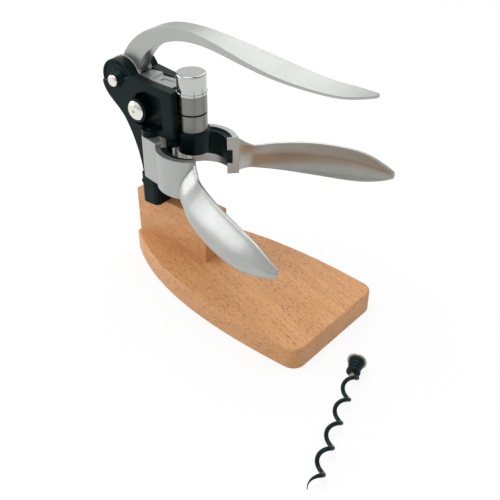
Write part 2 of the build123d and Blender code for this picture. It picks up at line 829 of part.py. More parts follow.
# Stations along a grip: forward and sideways of its top edge, heading, height of the top and the
# bottom edge, how far the bottom leans out, bulge of the outer side and hollow of the inner side
grip_stations = (
    (17.0, 20.6, 44.0, 95.0, 77.0, 4.0, 1.6, 0.3),
    (27.3, 29.5, 37.0, 96.4, 74.9, 8.0, 4.4, 1.0),
    (41.6, 39.9, 32.0, 98.6, 72.9, 8.2, 5.2, 2.0),
    (62.4, 52.0, 25.6, 100.1, 71.5, 6.0, 5.4, 2.6),
    (86.4, 62.0, 17.0, 99.1, 71.8, 3.5, 5.0, 2.4),
    (99.2, 65.7, 13.0, 96.6, 74.2, 1.9, 4.0, 1.6),
    (110.6, 68.2, 9.0, 91.6, 78.6, 0.6, 2.4, 0.6),
    (117.6, 69.2, 6.0, 87.2, 82.8, 0.1, 1.0, -0.2),
)
with BuildPart() as left_jaw:
    # Half shell round the neck
    with BuildSketch(jaw_plane.offset(jaw_bottom)):
        with BuildLine():
            neck_sector(jaw_front_angle, jaw_rear_angle, jaw_inner, jaw_outer)
        make_face()
    extrude(amount=jaw_top - jaw_bottom)
    # Block at the front end, with a notch for the tongue of the liner
    with BuildSketch(jaw_plane.offset(jaw_bottom)):
        with BuildLine():
            neck_sector(end_front_angle, end_rear_angle, end_inner, end_outer)
        make_face()
    extrude(amount=jaw_top - jaw_bottom)
    with BuildSketch(jaw_plane.offset(liner_bottom)):
        with BuildLine():
            neck_sector(liner_front_angle, liner_rear_angle, liner_inner, jaw_inner)
        make_face()
    extrude(amount=jaw_top - liner_bottom, mode=Mode.SUBTRACT)
    with BuildSketch(jaw_plane.offset(tab_bottom)):
        with BuildLine():
            neck_sector(tab_front_angle, liner_rear_angle, liner_inner, jaw_inner)
        make_face()
    extrude(amount=tab_top - tab_bottom, mode=Mode.SUBTRACT)
    # Knuckle and its plate
    with BuildSketch(jaw_plane.offset(jaw_bottom)):
        Circle(knuckle)
        with BuildLine():
            Polyline(
                (0, knuckle),
                neck_point(plate_angle, jaw_outer - plate_sunk),
                neck_point(jaw_rear_angle - plate_lap, jaw_inner + plate_sunk),
                (0, -knuckle / 2),
                close=True,
            )
        make_face()
    extrude(amount=knuckle_top - jaw_bottom)
    # Grip, a hollow leaf shape lofted through its stations
    for forward, sideways, heading, top, bottom, lean, bulge, hollow in grip_stations:
        station = Plane(
            origin=(forward, sideways, 0),
            x_dir=(-sin(radians(heading)), cos(radians(heading)), 0),
            z_dir=(cos(radians(heading)), sin(radians(heading)), 0),
        )
        half_edge = min(grip_edge, bulge) / 2
        with BuildSketch(station):
            with BuildLine():
                back = ThreePointArc(
                    (lean + half_edge, bottom),
                    (lean / 2 + bulge + half_edge, (top + bottom) / 2),
                    (half_edge, top),
                )
                inner = ThreePointArc(
                    (lean - half_edge, bottom),
                    (lean / 2 + hollow - half_edge, (top + bottom) / 2),
                    (-half_edge, top),
                )
                Line(back @ 0, inner @ 0)
                Line(back @ 1, inner @ 1)
            make_face()
    loft()
    with BuildSketch(jaw_plane.offset(jaw_bottom)):
        Circle(hinge_pin + run_fit)
    extrude(amount=knuckle_top - jaw_bottom, mode=Mode.SUBTRACT)
left_jaw.part.label = "left_jaw"
export_step(left_jaw.part, "parts/left_jaw.step")

with BuildPart() as right_jaw:
    mirror(left_jaw.part, about=Plane.XZ)
right_jaw.part.label = "right_jaw"
export_step(right_jaw.part, "parts/right_jaw.step")

# Jaws: rubber liners that hold the bottle's neck
with BuildPart() as left_liner:
    with BuildSketch(jaw_plane.offset(liner_bottom)):
        with BuildLine():
            neck_sector(liner_front_angle, liner_rear_angle, liner_inner, jaw_inner)
        make_face()
    extrude(amount=liner_top - liner_bottom)
    with BuildSketch(jaw_plane.offset(tab_bottom)):
        with BuildLine():
            neck_sector(tab_front_angle, liner_front_angle, liner_inner, jaw_inner)
        make_face()
    extrude(amount=tab_top - tab_bottom)
left_liner.part.label = "left_liner"
export_step(left_liner.part, "parts/left_liner.step")

with BuildPart() as right_liner:
    mirror(left_liner.part, about=Plane.XZ)
right_liner.part.label = "right_liner"
export_step(right_liner.part, "parts/right_liner.step")

# Loose worm: its own plane has Z along the worm, from the head to the tip.
# It lies on the rim of its disc and on the last turn of its wire.
plug_start = worm_disc_thick
ring_start = plug_start + plug_ribs * plug_rib_step
shank_start = ring_start + collar_ring_height
helix_start = shank_start + shank_length
helix_end = helix_start + helix_pitch * helix_turns
worm_drop = (worm_disc - helix_radius - wire_radius) / helix_end
along = (cos(radians(worm_heading)), sin(radians(worm_heading)), -worm_drop)
worm_plane = Plane(
    origin=(worm_head_x, worm_head_y, worm_disc),
    x_dir=(-sin(radians(worm_heading)), cos(radians(worm_heading)), 0),
    z_dir=along,
)

with BuildPart() as worm_disc_head:
    with BuildSketch(worm_plane):
        Circle(worm_disc)
    extrude(amount=worm_disc_thick)
    chamfer(worm_disc_head.edges().filter_by(GeomType.CIRCLE), disc_ease)
worm_disc_head.part.label = "worm_disc"
export_step(worm_disc_head.part, "parts/worm_disc.step")

with BuildPart() as worm_plug:
    for rib in range(plug_ribs):
        low = plug_start + rib * plug_rib_step
        reach = plug_wide - (plug_wide - plug_narrow) * rib / plug_ribs
        with BuildSketch(worm_plane.offset(low)):
            Circle(reach)
        extrude(amount=plug_rib_width)
        with BuildSketch(worm_plane.offset(low + plug_rib_width)):
            Circle(reach - plug_groove)
        extrude(amount=plug_rib_step - plug_rib_width)
    with BuildSketch(worm_plane.offset(ring_start)):
        Circle(collar_ring)
    extrude(amount=collar_ring_height)
worm_plug.part.label = "worm_plug"
export_step(worm_plug.part, "parts/worm_plug.step")

with BuildPart() as worm_shank:
    with BuildSketch(worm_plane.offset(shank_start)):
        Circle(shank_radius)
    extrude(amount=shank_length)
worm_shank.part.label = "worm_shank"
export_step(worm_shank.part, "parts/worm_shank.step")


def helix_point(turn):
    """A point on the wire's middle line, counted in turns from the shank."""
    angle = 2 * pi * turn
    local = (helix_radius * cos(angle), helix_radius * sin(angle), helix_start + helix_pitch * turn)
    return worm_plane.from_local_coords(Vector(*local))


def helix_tangent(turn):
    """The wire's direction at a turn."""
    angle = 2 * pi * turn
    local = (-2 * pi * helix_radius * sin(angle), 2 * pi * helix_radius * cos(angle), helix_pitch)
    tail = worm_plane.from_local_coords(Vector(0, 0, 0))
    return (worm_plane.from_local_coords(Vector(*local)) - tail).normalized()


def biarc_joint(start, start_way, end, end_way):
    """The point where two tangent arcs of a quarter turn meet."""
    chord = end - start
    both = start_way + end_way
    square = 2 * (1 - start_way.dot(end_way))
    slope = 2 * chord.dot(both)
    length = (-slope + (slope**2 + 4 * square * chord.dot(chord)) ** 0.5) / (2 * square)
    return (start + start_way * length + end - end_way * length) * 0.5


wire_turns = helix_turns - tip_turns
quarters = int(wire_turns * 4)
with BuildPart() as worm_wire:
    with BuildLine() as wire_line:
        for quarter in range(quarters):
            turn_a = wire_turns * quarter / quarters
            turn_b = wire_turns * (quarter + 1) / quarters
            start, end = helix_point(turn_a), helix_point(turn_b)
            joint = biarc_joint(start, helix_tangent(turn_a), end, helix_tangent(turn_b))
            first = TangentArc(start, joint, tangent=helix_tangent(turn_a))
            TangentArc(joint, end, tangent=first % 1)
    with BuildSketch(Plane(origin=helix_point(0), z_dir=helix_tangent(0))):
        Circle(wire_radius)
    sweep(path=wire_line.wires()[0])
    with Locations(helix_point(0)):
        Sphere(hook_radius)
    # Tip, tapering over the last part of a turn
    tip_steps = 4
    for step in range(tip_steps + 1):
        turn = wire_turns + tip_turns * step / tip_steps
        radius = wire_radius + (tip_radius - wire_radius) * step / tip_steps
        with BuildSketch(Plane(origin=helix_point(turn), z_dir=helix_tangent(turn))):
            Circle(radius)
    loft()
worm_wire.part.label = "worm_wire"
export_step(worm_wire.part, "parts/worm_wire.step")

# Least gap of the wire to itself, measured on points a turn or so apart
sample_count = 160
samples = [helix_point(wire_turns * k / sample_count) for k in range(sample_count + 1)]
turn_points = int(sample_count / wire_turns / 2)
self_gap = min(
    (samples[a] - samples[b]).length - 2 * wire_radius
    for a in range(sample_count + 1)
    for b in range(a + turn_points, sample_count + 1)
)
print("least gap of the worm's wire to itself", round(self_gap, 2))
print("stroke of the carriage", round(stroke, 2))
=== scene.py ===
import json
import math

import bmesh
import bpy
from mathutils import Matrix, Vector


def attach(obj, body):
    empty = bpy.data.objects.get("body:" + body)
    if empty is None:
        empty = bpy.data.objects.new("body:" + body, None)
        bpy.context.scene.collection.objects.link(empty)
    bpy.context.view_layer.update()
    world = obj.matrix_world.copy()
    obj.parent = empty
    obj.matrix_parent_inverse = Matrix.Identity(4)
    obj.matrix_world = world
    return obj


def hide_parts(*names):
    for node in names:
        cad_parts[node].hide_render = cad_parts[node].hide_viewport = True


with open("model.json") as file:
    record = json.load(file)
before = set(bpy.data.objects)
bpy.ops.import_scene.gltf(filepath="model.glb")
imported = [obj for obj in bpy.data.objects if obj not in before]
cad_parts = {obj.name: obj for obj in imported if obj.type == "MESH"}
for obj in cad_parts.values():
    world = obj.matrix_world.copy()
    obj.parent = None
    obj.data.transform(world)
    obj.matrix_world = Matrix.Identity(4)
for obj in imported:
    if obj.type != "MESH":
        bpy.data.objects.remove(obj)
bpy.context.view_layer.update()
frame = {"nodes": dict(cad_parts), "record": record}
record = frame["record"]
print("frame loaded:", len(frame["nodes"]), "nodes")


# Camera, floor and light

shot = {
    "place": (0.30096, -0.34572, 0.33696),  # metres, in the frame
    "azimuth": 36.23,  # degrees from +Y, towards -X
    "elevation": 35.39,
    "roll": 0.27,
    "lens": 53.75,  # mm
    "sensor": 36.0,  # mm
    "clip": (0.01, 50.0),  # metres
}


def placeCamera():
    az, el, roll = (math.radians(shot[k]) for k in ("azimuth", "elevation", "roll"))
    look = Vector((-math.sin(az) * math.cos(el), math.cos(az) * math.cos(el), -math.sin(el)))
    level = Vector((math.cos(az), math.sin(az), 0.0))
    upright = level.cross(look)
    right = level * math.cos(roll) + upright * math.sin(roll)
    up = upright * math.cos(roll) - level * math.sin(roll)
    data = bpy.data.cameras.new("shotCamera")
    data.sensor_width = shot["sensor"]
    data.lens = shot["lens"]
    data.clip_start, data.clip_end = shot["clip"]
    camera = bpy.data.objects.new("shotCamera", data)
    turn = Matrix((right, up, -look)).transposed().to_4x4()
    camera.matrix_world = Matrix.Translation(shot["place"]) @ turn
    bpy.context.scene.collection.objects.link(camera)
    bpy.context.scene.camera = camera


studio = {
    "floorRadius": 4.0,
    "floorSides": 96,
    "floorColor": (0.86, 0.86, 0.86, 1.0),
    "floorWhite": 0.86,  # share of plain white that the camera sees in the floor
    "skyStops": ((0.0, 0.56), (0.12, 0.60), (0.36, 0.86), (1.0, 0.92)),  # height, brightness
    # strength to the left and to the right, and the X where each is reached
    "skyShade": (1.0, 0.55, -0.1, 0.8),
    "aim": (0.03, 0.0, 0.08),
    "lamps": {  # place, size, power
        "keyLamp": ((-0.10, 0.05, 1.12), 1.0, 5.5),
        "leftLamp": ((-0.98, -0.28, 0.40), 0.68, 2.3),
        "sideLamp": ((-0.76, -0.70, 0.34), 0.42, 0.85),
        "backLamp": ((-0.25, 0.85, 0.78), 0.65, 1.25),
    },
}


def addLamp(name, place, aim, size, power):
    data = bpy.data.lights.new(name, "AREA")
    data.shape = "DISK"
    data.size = size
    data.energy = power
    lamp = bpy.data.objects.new(name, data)
    lamp.location = place
    lamp.rotation_euler = (Vector(aim) - Vector(place)).to_track_quat("-Z", "Y").to_euler()
    lamp.visible_camera = False  # lamps stay out of every view
    bpy.context.scene.collection.objects.link(lamp)


def nodeMath(tree, kind, first, second=None):
    node = tree.nodes.new("ShaderNodeMath")
    node.operation = kind
    for socket, value in zip(node.inputs, (first, second)):
        if isinstance(value, bpy.types.NodeSocket):
            tree.links.new(value, socket)
        elif value is not None:
            socket.default_value = value
    return node.outputs[0]


# Maps a value to low..high; the usual limits suit a noise, which keeps near its middle
def spread(tree, value, low, high, fromLow=0.3, fromHigh=0.7):
    span = tree.nodes.new("ShaderNodeMapRange")
    span.inputs["From Min"].default_value = fromLow
    span.inputs["From Max"].default_value = fromHigh
    span.inputs["To Min"].default_value = low
    span.inputs["To Max"].default_value = high
    tree.links.new(value, span.inputs["Value"])
    return span.outputs["Result"]


def buildStudio():
    world = bpy.data.worlds.new("studioSky")
    world.use_nodes = True
    tree = world.node_tree
    sky = tree.nodes["Background"]
    coord = tree.nodes.new("ShaderNodeTexCoord")
    split = tree.nodes.new("ShaderNodeSeparateXYZ")
    ramp = tree.nodes.new("ShaderNodeValToRGB")
    stops = ramp.color_ramp.elements
    stops[0].position, stops[1].position = studio["skyStops"][0][0], studio["skyStops"][-1][0]
    for height, _ in studio["skyStops"][1:-1]:
        stops.new(height)
    for stop, (_, bright) in zip(stops, studio["skyStops"]):
        stop.color = (bright, bright, bright, 1.0)
    tree.links.new(coord.outputs["Generated"], split.inputs[0])
    tree.links.new(split.outputs["Z"], ramp.inputs["Fac"])
    tree.links.new(ramp.outputs["Color"], sky.inputs["Color"])
    tree.links.new(spread(tree, split.outputs["X"], *studio["skyShade"]), sky.inputs["Strength"])
    bpy.context.scene.world = world

    bm = bmesh.new()
    sides, radius = studio["floorSides"], studio["floorRadius"]
    bmesh.ops.create_circle(bm, cap_ends=True, segments=sides, radius=radius)
    mesh = bpy.data.meshes.new("studioFloor")
    bm.to_mesh(mesh)
    bm.free()
    floor = bpy.data.objects.new("studioFloor", mesh)
    bpy.context.scene.collection.objects.link(floor)
    mat = bpy.data.materials.new("paleFloor")
    mat.use_nodes = True
    tree = mat.node_tree
    tree.nodes.clear()
    out = tree.nodes.new("ShaderNodeOutputMaterial")
    matt = tree.nodes.new("ShaderNodeBsdfDiffuse")
    matt.inputs["Color"].default_value = studio["floorColor"]
    white = tree.nodes.new("ShaderNodeEmission")
    path = tree.nodes.new("ShaderNodeLightPath")
    mix = tree.nodes.new("ShaderNodeMixShader")
    seen = path.outputs["Is Camera Ray"]
    for other in ("Is Glossy Ray", "Is Transmission Ray"):
        seen = nodeMath(tree, "MAXIMUM", seen, path.outputs[other])
    tree.links.new(nodeMath(tree, "MULTIPLY", seen, studio["floorWhite"]), mix.inputs[0])
    tree.links.new(matt.outputs[0], mix.inputs[1])
    tree.links.new(white.outputs[0], mix.inputs[2])
    tree.links.new(mix.outputs[0], out.inputs["Surface"])
    mesh.materials.append(mat)

    for name, (place, size, power) in studio["lamps"].items():
        addLamp(name, place, studio["aim"], size, power)
    bpy.context.scene.view_settings.view_transform = "Standard"


placeCamera()
buildStudio()
print("camera, floor and light ready")


# Materials

def startMaterial(name, color, roughness, metallic=0.0, specular=0.5):
    mat = bpy.data.materials.new(name)
    mat.use_nodes = True
    shader = mat.node_tree.nodes["Principled BSDF"]
    shader.inputs["Base Color"].default_value = (*color, 1.0)
    shader.inputs["Roughness"].default_value = roughness
    shader.inputs["Metallic"].default_value = metallic
    shader.inputs["Specular IOR Level"].default_value = specular
    return mat, mat.node_tree, shader


def objectPoints(tree, stretch=(1.0, 1.0, 1.0), turn=(0.0, 0.0, 0.0), shift=(0.0, 0.0, 0.0)):
    coord = tree.nodes.new("ShaderNodeTexCoord")
    turned = tree.nodes.new("ShaderNodeMapping")
    turned.inputs["Location"].default_value = shift
    turned.inputs["Rotation"].default_value = [math.radians(a) for a in turn]
    tree.links.new(coord.outputs["Object"], turned.inputs["Vector"])
    scaled = tree.nodes.new("ShaderNodeVectorMath")
    scaled.operation = "MULTIPLY"
    scaled.inputs[1].default_value = stretch
    tree.links.new(turned.outputs[0], scaled.inputs[0])
    return scaled.outputs[0]


def addNoise(tree, points, scale=1.0, detail=3.0, rough=0.5, bend=0.0):
    noise = tree.nodes.new("ShaderNodeTexNoise")
    noise.inputs["Scale"].default_value = scale
    noise.inputs["Detail"].default_value = detail
    noise.inputs["Roughness"].default_value = rough
    noise.inputs["Distortion"].default_value = bend
    tree.links.new(points, noise.inputs["Vector"])
    return noise.outputs["Fac"]


def mixColors(tree, share, first, second):
    mix = tree.nodes.new("ShaderNodeMix")
    mix.data_type = "RGBA"
    for socket, value in ((mix.inputs[0], share), (mix.inputs[6], first), (mix.inputs[7], second)):
        if isinstance(value, bpy.types.NodeSocket):
            tree.links.new(value, socket)
        else:
            socket.default_value = value if isinstance(value, float) else (*value, 1.0)
    return mix.outputs[2]


def addBump(tree, shader, height, strength, distance):
    bump = tree.nodes.new("ShaderNodeBump")
    bump.inputs["Strength"].default_value = strength
    bump.inputs["Distance"].default_value = distance
    tree.links.new(height, bump.inputs["Height"])
    normal = shader.inputs["Normal"]
    if normal.is_linked:
        tree.links.new(normal.links[0].from_socket, bump.inputs["Normal"])
    tree.links.new(bump.outputs[0], normal)


def mottle(tree, shader, noise, color, shade):
    skin = mixColors(tree, spread(tree, noise, 0.0, 1.0), color, shade)
    tree.links.new(skin, shader.inputs["Base Color"])
    return skin


def varySheen(tree, shader, noise, roughness, change, *limits):
    sheen = spread(tree, noise, roughness + change[0], roughness + change[1], *limits)
    tree.links.new(sheen, shader.inputs["Roughness"])


# Satin metal: fine blasted grain over slow patches of sheen; with a root given, the darker colours
# are painted shade that fades to a lighter colour at the root
satinLook = {
    "metallic": 0.82,
    "patchScale": 55.0,
    "sheenScale": 420.0,
    "sheenChange": (-0.04, 0.05),
    "grainScale": 5200.0,
    "grainBump": (0.12, 0.00002),  # strength, metres
}


def satinMetal(name, color, shade, roughness, root=None):
    look = satinLook
    mat, tree, shader = startMaterial(name, color, roughness, metallic=look["metallic"])
    points = objectPoints(tree)
    patches = addNoise(tree, points, scale=look["patchScale"], detail=2.0)
    skin = mottle(tree, shader, patches, color, shade)
    if root:  # painted shade ends here: a lighter colour at the root, and the stretch of X over which the darker painted shade comes in
        rootColor, near, far = root
        split = tree.nodes.new("ShaderNodeSeparateXYZ")
        tree.links.new(points, split.inputs[0])
        fade = spread(tree, split.outputs["X"], 0.0, 1.0, near, far)
        tree.links.new(mixColors(tree, fade, rootColor, skin), shader.inputs["Base Color"])
    sheen = addNoise(tree, points, scale=look["sheenScale"], detail=4.0)
    varySheen(tree, shader, sheen, roughness, look["sheenChange"])
    grain = addNoise(tree, points, scale=look["grainScale"], detail=2.0)
    addBump(tree, shader, grain, *look["grainBump"])
    return mat


# Turned metal: faint tool rings along the barrel
turnedLook = {
    "ringScale": (18.0, 18.0, 2600.0),
    "sheenChange": (-0.05, 0.06),
    "ringBump": (0.2, 0.00001),  # strength, metres
}


def turnedMetal(name, color, shade, roughness):
    look = turnedLook
    mat, tree, shader = startMaterial(name, color, roughness, metallic=1.0)
    lines = addNoise(tree, objectPoints(tree, stretch=look["ringScale"]), detail=3.0)
    mottle(tree, shader, lines, color, shade)
    varySheen(tree, shader, lines, roughness, look["sheenChange"])
    addBump(tree, shader, lines, *look["ringBump"])
    return mat


# Polished plate: a mirror with faint smudges
plateLook = {
    "smudgeScale": 140.0,
    "smudgeChange": (0.0, 0.05),
    "smudgeLimits": (0.45, 0.75),
}


def polishedPlate(name, color, roughness):
    look = plateLook
    mat, tree, shader = startMaterial(name, color, roughness, metallic=1.0)
    smudge = addNoise(tree, objectPoints(tree), scale=look["smudgeScale"], detail=5.0, rough=0.6)
    varySheen(tree, shader, smudge, roughness, look["smudgeChange"], *look["smudgeLimits"])
    return mat


# Moulded black: soft eggshell skin with a green-blue cast
blackLook = {
    "specular": 0.15,
    "tint": (0.62, 1.0, 1.0, 1.0),
    "cloudScale": 90.0,
    "sheenChange": (-0.05, 0.06),
    "grainStrength": 0.3,
}


def mouldedBlack(name, color, shade, roughness, grain=2300.0, depth=0.00004):
    look = blackLook
    mat, tree, shader = startMaterial(name, color, roughness, specular=look["specular"])
    shader.inputs["Specular Tint"].default_value = look["tint"]
    points = objectPoints(tree)
    cloud = addNoise(tree, points, scale=look["cloudScale"], detail=3.0)
    mottle(tree, shader, cloud, color, shade)
    varySheen(tree, shader, cloud, roughness, look["sheenChange"])
    skin = addNoise(tree, points, scale=grain, detail=2.0)
    addBump(tree, shader, skin, look["grainStrength"], depth)
    return mat


# Beech: slow bands and fine fibre along the grain, with short dark flecks
beechLook = {
    "light": (0.78, 0.405, 0.180),
    "dark": (0.52, 0.250, 0.100),
    "pore": (0.20, 0.082, 0.032),
    "roughness": (0.42, 0.56),  # least and most, along the fibres
    "specular": 0.35,
    "bandScale": (7.0, 75.0, 75.0),
    "bandDark": 0.55,  # most of the dark colour that bands and fibres take
    "fibreScale": (45.0, 1100.0, 1100.0),
    "fibreDark": 0.75,
    "fibreBump": (0.25, 0.00005),  # strength, metres
    "fleckLength": 0.0064,  # metres, room for one fleck along and across the grain
    "fleckWidth": 0.0011,
    "fleckSets": ((1.0, 1.0), (0.62, 0.75), (0.40, 0.5)),  # size, strength
    "fleckEdge": (0.14, 0.28),  # share of its room where a fleck begins to fade and ends
    "fleckPatches": (0.4, 1.0, 0.35, 0.6),  # strength in light and dark bands, and their limits
    "fleckBump": (0.4, 0.00008),
}


def beechWood(name, skew):
    look = beechLook
    light, dark = look["light"], look["dark"]
    mat, tree, shader = startMaterial(name, light, look["roughness"][0], specular=look["specular"])
    turn = (0.0, 0.0, skew)
    bands = addNoise(tree, objectPoints(tree, look["bandScale"], turn), detail=3.0, bend=0.4)
    fibre = addNoise(tree, objectPoints(tree, look["fibreScale"], turn), detail=4.0, rough=0.6)
    wood = mixColors(tree, spread(tree, bands, 0.0, look["bandDark"]), light, dark)
    wood = mixColors(tree, spread(tree, fibre, 0.0, look["fibreDark"]), wood, dark)
    flecks = 0.0
    for size, share in look["fleckSets"]:
        scale = [1 / (size * look[key]) for key in ("fleckLength", "fleckWidth", "fleckWidth")]
        cells = tree.nodes.new("ShaderNodeTexVoronoi")
        cells.inputs["Scale"].default_value = 1.0
        tree.links.new(objectPoints(tree, scale, turn, (size, size, size)), cells.inputs["Vector"])
        spots = spread(tree, cells.outputs["Distance"], share, 0.0, *look["fleckEdge"])
        flecks = nodeMath(tree, "MAXIMUM", spots, flecks)
    patchy = spread(tree, bands, *look["fleckPatches"])
    wood = mixColors(tree, nodeMath(tree, "MULTIPLY", flecks, patchy), wood, look["pore"])
    tree.links.new(wood, shader.inputs["Base Color"])
    tree.links.new(spread(tree, fibre, *look["roughness"]), shader.inputs["Roughness"])
    addBump(tree, shader, fibre, *look["fibreBump"])
    addBump(tree, shader, spread(tree, flecks, 1.0, 0.0, 0.0, 1.0), *look["fleckBump"])
    return mat


finishes = {
    "beechBoard": beechWood("beechBoard", 20.0),
    "beechBlock": beechWood("beechBlock", 8.0),
    "satinSilver": satinMetal("satinSilver", (0.44, 0.45, 0.435), (0.40, 0.41, 0.395), 0.33),
    # painted shade: a darker copy of satinSilver for the grips' scooped inner sides, fading back
    # to satinSilver's colour towards the root
    "scoopShadeSilver": satinMetal(
        "scoopShadeSilver", (0.38, 0.40, 0.375), (0.33, 0.35, 0.325), 0.36,
        root=((0.44, 0.45, 0.435), 0.022, 0.044),
    ),
    "turnedSteel": turnedMetal("turnedSteel", (0.25, 0.25, 0.23), (0.20, 0.20, 0.185), 0.3),
    "brightSteel": polishedPlate("brightSteel", (0.78, 0.76, 0.70), 0.17),
    "polishedCap": polishedPlate("polishedCap", (0.52, 0.53, 0.515), 0.06),
    "frameBlack": mouldedBlack(
        "frameBlack", (0.0015, 0.0050, 0.0060), (0.0030, 0.0080, 0.0090), 0.32,
    ),
    "gripRubber": mouldedBlack(
        "gripRubber", (0.004, 0.010, 0.011), (0.007, 0.015, 0.016), 0.5, 3200.0,
    ),
    "wormBlack": mouldedBlack(
        "wormBlack", (0.006, 0.013, 0.014), (0.010, 0.019, 0.020), 0.28, 4000.0, 0.00002,
    ),
    "plugBlack": mouldedBlack("plugBlack", (0.006, 0.014, 0.015), (0.009, 0.019, 0.020), 0.36),
    "dullBrass": turnedMetal("dullBrass", (0.50, 0.40, 0.22), (0.42, 0.33, 0.18), 0.32),
    "discMetal": satinMetal("discMetal", (0.52, 0.47, 0.40), (0.44, 0.39, 0.33), 0.36),
}
print("finishes:", len(finishes))


# CAD shapes that show: a merged copy with smooth skin and eased edges

bodyOf = {node: body for body, nodes in record["behaviour"]["bodies"].items() for node in nodes}
dressing = {
    "merge": 0.000002,  # metres
    "flat": 0.5,  # degrees between faces that are made one
    "crease": 30.0,  # degrees from which an edge is eased or kept sharp
}


def plainMesh(piece, name):
    shaped = piece.evaluated_get(bpy.context.evaluated_depsgraph_get())
    mesh = bpy.data.meshes.new_from_object(shaped)
    mesh.name = name
    return mesh


def dressNode(node, finish, name, ease, steps=2, cuts=(), widths=()):
    bm = bmesh.new()
    bm.from_mesh(frame["nodes"][node].data)
    bmesh.ops.remove_doubles(bm, verts=bm.verts, dist=dressing["merge"])
    for (a, low), (b, high) in zip(widths, widths[1:]):  # share of the width that is kept along X
        for v in bm.verts:
            if a < v.co.x <= b:
                v.co.y *= low + (high - low) * (v.co.x - a) / (b - a)
    for point, away in cuts:  # what lies beyond each point is taken off
        bmesh.ops.bisect_plane(
            bm, geom=bm.verts[:] + bm.edges[:] + bm.faces[:],
            plane_co=point, plane_no=away, clear_outer=True,
        )
        bmesh.ops.holes_fill(bm, edges=[e for e in bm.edges if e.is_boundary], sides=0)
    flat = math.radians(dressing["flat"])
    bmesh.ops.dissolve_limit(bm, angle_limit=flat, verts=bm.verts, edges=bm.edges)
    mesh = bpy.data.meshes.new(name)
    bm.to_mesh(mesh)
    bm.free()
    if "custom_normal" in mesh.attributes:
        mesh.attributes.remove(mesh.attributes["custom_normal"])
    mesh.materials.clear()
    mesh.materials.append(finishes[finish])
    mesh.shade_smooth()
    piece = bpy.data.objects.new(name, mesh)
    bpy.context.scene.collection.objects.link(piece)
    crease = math.radians(dressing["crease"])
    if ease:
        bevel = piece.modifiers.new("ease", "BEVEL")
        bevel.width = ease
        bevel.segments = steps
        bevel.limit_method = "ANGLE"
        bevel.angle_limit = crease
        bevel.use_clamp_overlap = True
    else:
        mesh.set_sharp_from_angle(angle=crease)
    even = piece.modifiers.new("flatFaces", "WEIGHTED_NORMAL")
    even.keep_sharp = True
    done = plainMesh(piece, name)
    piece.modifiers.clear()
    piece.data = done
    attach(piece, bodyOf[node])
    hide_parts(node)


shown = {  # node: finish, name, width of the eased edges in metres
    "stand_base": ("beechBoard", "standBoard", 0.0),
    "stand_block": ("beechBlock", "standBlock", 0.0),
    "left_frame": ("frameBlack", "leftCheek", 0.0007),
    "right_frame": ("frameBlack", "rightCheek", 0.0007),
    "lever_pin": ("brightSteel", "leverPin", 0.0),
    "left_guide_stud": ("brightSteel", "leftStud", 0.0),
    "right_guide_stud": ("brightSteel", "rightStud", 0.0),
    "left_hinge_pin": ("brightSteel", "leftHingePin", 0.0002),
    "right_hinge_pin": ("brightSteel", "rightHingePin", 0.0002),
    "nut_sleeve": ("turnedSteel", "barrelSleeve", 0.0002),
    "bumper_ring": ("gripRubber", "barrelBumper", 0.0),
    "carriage": ("satinSilver", "slideCarriage", 0.0003),
    "barrel_cap": ("polishedCap", "barrelCap", 0.0),
    "left_washer": ("brightSteel", "leftWasher", 0.0),
    "right_washer": ("brightSteel", "rightWasher", 0.0),
    "worm_disc": ("discMetal", "wormDisc", 0.0),
    "worm_shank": ("dullBrass", "wormShank", 0.0),
}
for node, (finish, name, ease) in shown.items():
    dressNode(node, finish, name, ease)

leverShape = {
    "ease": 0.0006,  # metres
    "tip": (  # metres along X, share of its width that the lever keeps there
        (0.1160, 1.0), (0.1190, 0.98), (0.1211, 0.965), (0.1230, 0.95), (0.1245, 0.955),
        (0.1258, 0.985), (0.1270, 1.055), (0.1280, 0.96), (0.1295, 0.86), (0.1312, 0.815),
        (0.1325, 0.87), (0.1335, 1.05), (0.1341, 1.10),
    ),
}
dressNode("lever", "satinSilver", "leverArm", leverShape["ease"], widths=leverShape["tip"])

# Metres from the middle where a head begins, how much wider it is, radius of the shank under it
heads = {
    "leftStud": (0.01636, 1.24, 0.0028),
    "rightStud": (0.01636, 1.24, 0.0028),
    "leverPin": (0.01776, 1.17, 0.0031),
}
headPlay = 0.0001  # metres
for name, (reach, wider, shank) in heads.items():
    spots = bpy.data.objects[name].data.vertices
    midX, midZ = (
        (min(v.co[k] for v in spots) + max(v.co[k] for v in spots)) / 2 for k in (0, 2)
    )
    for v in spots:
        out = math.hypot(v.co.x - midX, v.co.z - midZ)
        onShank = abs(v.co.y) < reach + headPlay and out < shank
        if abs(v.co.y) > reach and not onShank:
            v.co.x = midX + (v.co.x - midX) * wider
            v.co.z = midZ + (v.co.z - midZ) * wider

# Turned part of the carriage, metres
barrelRing = {"radius": 0.0103, "low": 0.1258, "high": 0.1396}
turned = bpy.data.objects["slideCarriage"].data
turned.materials.append(finishes["turnedSteel"])
for face in turned.polygons:
    near = math.hypot(face.center.x, face.center.y) < barrelRing["radius"]
    if near and barrelRing["low"] < face.center.z < barrelRing["high"]:
        face.material_index = 1
print("dressed pieces:", len(shown) + 1)
